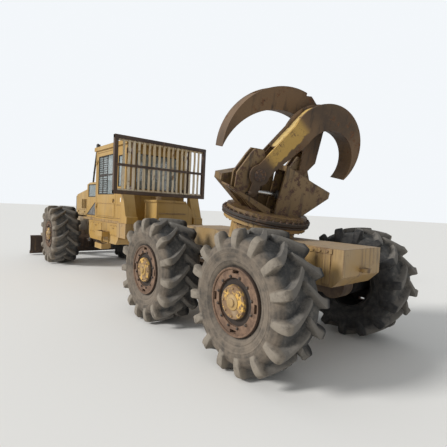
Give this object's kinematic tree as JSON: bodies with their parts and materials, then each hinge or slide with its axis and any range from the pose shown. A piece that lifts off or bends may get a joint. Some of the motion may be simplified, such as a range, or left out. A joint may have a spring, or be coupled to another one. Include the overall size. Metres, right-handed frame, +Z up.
{
  "type": "six-wheel grapple skidder",
  "caption": "Six-wheel articulated forestry skidder with an upturned grapple on a turntable, closed cab, slatted rear guard and front blade.",
  "frame": {"origin": "on the ground under the middle of the machine's overall box", "axes": "+X forward, +Y to the machine's left, +Z up"},
  "size_m": [12.3198, 3.56, 4.1656],
  "materials": {
    "yellow_paint": "weathered",
    "dusty_paint": "dusty",
    "rusty_steel": "rusty",
    "engine_paint": "oily",
    "dark_steel": "worn",
    "guard_steel": "worn",
    "seat_vinyl": "worn",
    "pin_steel": "greasy",
    "blade_steel": "worn",
    "rod_chrome": "polished",
    "ring_steel": "rusty",
    "bunk_steel": "worn",
    "arm_steel": "rusty",
    "rim_paint": "dusty",
    "tyre_rubber": "dusty"
  },
  "bodies": {
    "front_frame": {"front_chassis": "dusty_paint", "front_axle": "rusty_steel", "engine_block": "engine_paint", "hood": "yellow_paint", "grille": "dark_steel", "cowl": "yellow_paint", "cab_body": "yellow_paint", "cab_roof": "yellow_paint", "cab_interior": "seat_vinyl", "limb_risers": "dark_steel", "guard": "guard_steel", "guard_towers": "yellow_paint", "rear_tank": "yellow_paint", "side_boxes": "yellow_paint", "hinge_pins": "pin_steel"},
    "door_left": {"door_left": "yellow_paint"},
    "door_right": {"door_right": "yellow_paint"},
    "blade": {"blade": "blade_steel"},
    "blade_barrels": {"blade_barrels": "yellow_paint"},
    "blade_rods": {"blade_rods": "rod_chrome"},
    "steer_barrel_left": {"steer_barrel_left": "dusty_paint"},
    "steer_rod_left": {"steer_rod_left": "rod_chrome"},
    "steer_barrel_right": {"steer_barrel_right": "dusty_paint"},
    "steer_rod_right": {"steer_rod_right": "rod_chrome"},
    "rear_frame": {"rear_frame": "dusty_paint", "bogie_axle": "rusty_steel", "bogie_beams": "rusty_steel"},
    "bunk": {"turntable_ring": "ring_steel", "bunk": "bunk_steel"},
    "arm_near": {"arm_near": "arm_steel"},
    "arm_far": {"arm_far": "arm_steel"},
    "arm_barrel_near": {"arm_barrel_near": "dark_steel"},
    "arm_rod_near": {"arm_rod_near": "rod_chrome"},
    "arm_barrel_far": {"arm_barrel_far": "dark_steel"},
    "arm_rod_far": {"arm_rod_far": "rod_chrome"},
    "wheel_front_left": {"rim_front_left": "rim_paint", "tyre_front_left": "tyre_rubber"},
    "wheel_mid_left": {"rim_mid_left": "rim_paint", "tyre_mid_left": "tyre_rubber"},
    "wheel_rear_left": {"rim_rear_left": "rim_paint", "tyre_rear_left": "tyre_rubber"},
    "wheel_front_right": {"rim_front_right": "rim_paint", "tyre_front_right": "tyre_rubber"},
    "wheel_mid_right": {"rim_mid_right": "rim_paint", "tyre_mid_right": "tyre_rubber"},
    "wheel_rear_right": {"rim_rear_right": "rim_paint", "tyre_rear_right": "tyre_rubber"}
  },
  "joints": [
    {"name": "steering", "type": "hinge", "parent": "front_frame", "child": "rear_frame", "pos_m": [-1.49, 0, 1], "axis": [0, 0, 1], "range_deg": [-40, 40]},
    {"name": "door_left", "type": "hinge", "parent": "front_frame", "child": "door_left", "pos_m": [1.81, 0.866, 2.5], "axis": [0, 0, -1], "range_deg": [0, 85]},
    {"name": "door_right", "type": "hinge", "parent": "front_frame", "child": "door_right", "pos_m": [1.81, -0.866, 2.5], "axis": [0, 0, 1], "range_deg": [0, 85]},
    {"name": "blade_lift", "type": "hinge", "parent": "front_frame", "child": "blade", "pos_m": [4.76, 0, 1], "axis": [0, -1, 0], "range_deg": [0, 25]},
    {"name": "blade_ram_turn", "type": "hinge", "parent": "front_frame", "child": "blade_barrels", "pos_m": [5.31, 0, 1.45], "axis": [0, -1, 0], "range_deg": [-1, 26.02]},
    {"name": "blade_ram_slide", "type": "slide", "parent": "blade_barrels", "child": "blade_rods", "axis": [0.4951, 0, -0.8688], "range_m": [-0.3182, 0.01]},
    {"name": "steer_ram_left_turn", "type": "hinge", "parent": "front_frame", "child": "steer_barrel_left", "pos_m": [-0.52, 0.34, 1.15], "axis": [0, 0, 1], "range_deg": [-18.09, 18.09]},
    {"name": "steer_ram_left_slide", "type": "slide", "parent": "steer_barrel_left", "child": "steer_rod_left", "axis": [-0.9989, 0.0478, 0], "range_m": [-0.2759, 0.2759]},
    {"name": "steer_ram_right_turn", "type": "hinge", "parent": "front_frame", "child": "steer_barrel_right", "pos_m": [-0.52, -0.34, 1.15], "axis": [0, 0, 1], "range_deg": [-18.09, 18.09]},
    {"name": "steer_ram_right_slide", "type": "slide", "parent": "steer_barrel_right", "child": "steer_rod_right", "axis": [-0.9989, -0.0478, 0], "range_m": [-0.2759, 0.2759]},
    {"name": "bunk_swing", "type": "hinge", "parent": "rear_frame", "child": "bunk", "pos_m": [-4.19, 0, 2.03], "axis": [-0.225, 0, 0.9744], "range_deg": [-72, 108]},
    {"name": "arm_near_open", "type": "hinge", "parent": "bunk", "child": "arm_near", "pos_m": [-4.39007, 0.50238, 2.64065], "axis": [-0.9267, 0.309, -0.2139], "range_deg": [0, 90]},
    {"name": "arm_far_open", "type": "hinge", "parent": "bunk", "child": "arm_far", "pos_m": [-4.27787, -0.50238, 2.66655], "axis": [0.9267, -0.309, 0.2139], "range_deg": [0, 90]},
    {"name": "arm_ram_near_turn", "type": "hinge", "parent": "bunk", "child": "arm_barrel_near", "pos_m": [-4.61613, -0.41063, 2.30109], "axis": [-0.9267, 0.309, -0.2139], "range_deg": [-14.16, 1]},
    {"name": "arm_ram_near_slide", "type": "slide", "parent": "arm_barrel_near", "child": "arm_rod_near", "axis": [0.3001, 0.951, 0.0736], "range_m": [-0.3634, 0.01]},
    {"name": "arm_ram_far_turn", "type": "hinge", "parent": "bunk", "child": "arm_barrel_far", "pos_m": [-3.92583, 0.41063, 2.46046], "axis": [0.9267, -0.309, 0.2139], "range_deg": [-14.16, 1]},
    {"name": "arm_ram_far_slide", "type": "slide", "parent": "arm_barrel_far", "child": "arm_rod_far", "axis": [-0.302, -0.951, -0.0654], "range_m": [-0.3634, 0.01]},
    {"name": "wheel_front_left_spin", "type": "hinge", "parent": "front_frame", "child": "wheel_front_left", "pos_m": [4.06, 1.245, 0.95], "axis": [0, 1, 0], "continuous": true},
    {"name": "wheel_mid_left_spin", "type": "hinge", "parent": "rear_frame", "child": "wheel_mid_left", "pos_m": [-2.84, 1.27, 0.92], "axis": [0, 1, 0], "continuous": true},
    {"name": "wheel_rear_left_spin", "type": "hinge", "parent": "rear_frame", "child": "wheel_rear_left", "pos_m": [-5.24, 1.27, 0.92], "axis": [0, 1, 0], "continuous": true},
    {"name": "wheel_front_right_spin", "type": "hinge", "parent": "front_frame", "child": "wheel_front_right", "pos_m": [4.06, -1.245, 0.95], "axis": [0, 1, 0], "continuous": true},
    {"name": "wheel_mid_right_spin", "type": "hinge", "parent": "rear_frame", "child": "wheel_mid_right", "pos_m": [-2.84, -1.27, 0.92], "axis": [0, 1, 0], "continuous": true},
    {"name": "wheel_rear_right_spin", "type": "hinge", "parent": "rear_frame", "child": "wheel_rear_right", "pos_m": [-5.24, -1.27, 0.92], "axis": [0, 1, 0], "continuous": true}
  ],
  "couplings": [
    {"joint": "blade_ram_turn", "follows": "blade_lift", "ratio": 1.0006},
    {"joint": "blade_ram_slide", "follows": "blade_lift", "m_per_rad": -0.70639},
    {"joint": "steer_ram_left_turn", "follows": "steering", "ratio": 0.42713},
    {"joint": "steer_ram_left_slide", "follows": "steering", "m_per_rad": 0.3808},
    {"joint": "steer_ram_right_turn", "follows": "steering", "ratio": 0.42713},
    {"joint": "steer_ram_right_slide", "follows": "steering", "m_per_rad": -0.3808},
    {"joint": "arm_ram_near_turn", "follows": "arm_near_open", "ratio": -0.14622},
    {"joint": "arm_ram_near_slide", "follows": "arm_near_open", "m_per_rad": -0.22495},
    {"joint": "arm_ram_far_turn", "follows": "arm_far_open", "ratio": -0.14622},
    {"joint": "arm_ram_far_slide", "follows": "arm_far_open", "m_per_rad": -0.22495}
  ]
}
